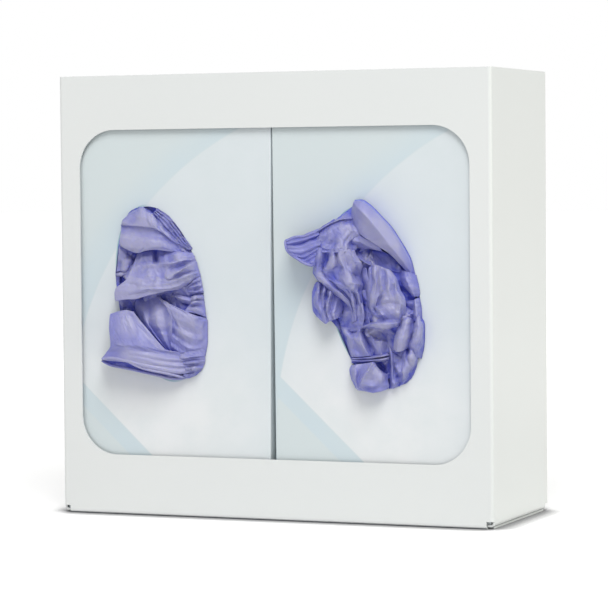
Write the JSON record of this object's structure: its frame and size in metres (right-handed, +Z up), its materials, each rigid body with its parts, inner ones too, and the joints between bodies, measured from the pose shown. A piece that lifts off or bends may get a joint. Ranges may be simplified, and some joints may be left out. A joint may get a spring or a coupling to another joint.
{
  "type": "disposable glove dispenser",
  "caption": "White folded-steel wall dispenser with an open top and a large rounded front window, holding glove cartons side by side with gloves pulled out of their oval openings.",
  "frame": {"origin": "middle of the floor plate's underside: centred between the sides, and between the front face and the wall face", "axes": "+X to the right seen from the front, +Y from the front towards the wall, +Z up"},
  "size_m": [0.265, 0.1155, 0.254],
  "materials": {
    "powder_coat": "glossy white powder coat",
    "carton_board": "coated pale blue-grey print",
    "nitrile_film": "satin violet-blue film"
  },
  "bodies": {
    "root": {"front_shell": "powder_coat", "back_panel": "powder_coat", "left_carton": "carton_board", "right_carton": "carton_board", "left_glove_stack": "nitrile_film", "right_glove_stack": "nitrile_film", "left_pulled_glove": "nitrile_film", "right_pulled_glove": "nitrile_film"}
  },
  "joints": []
}
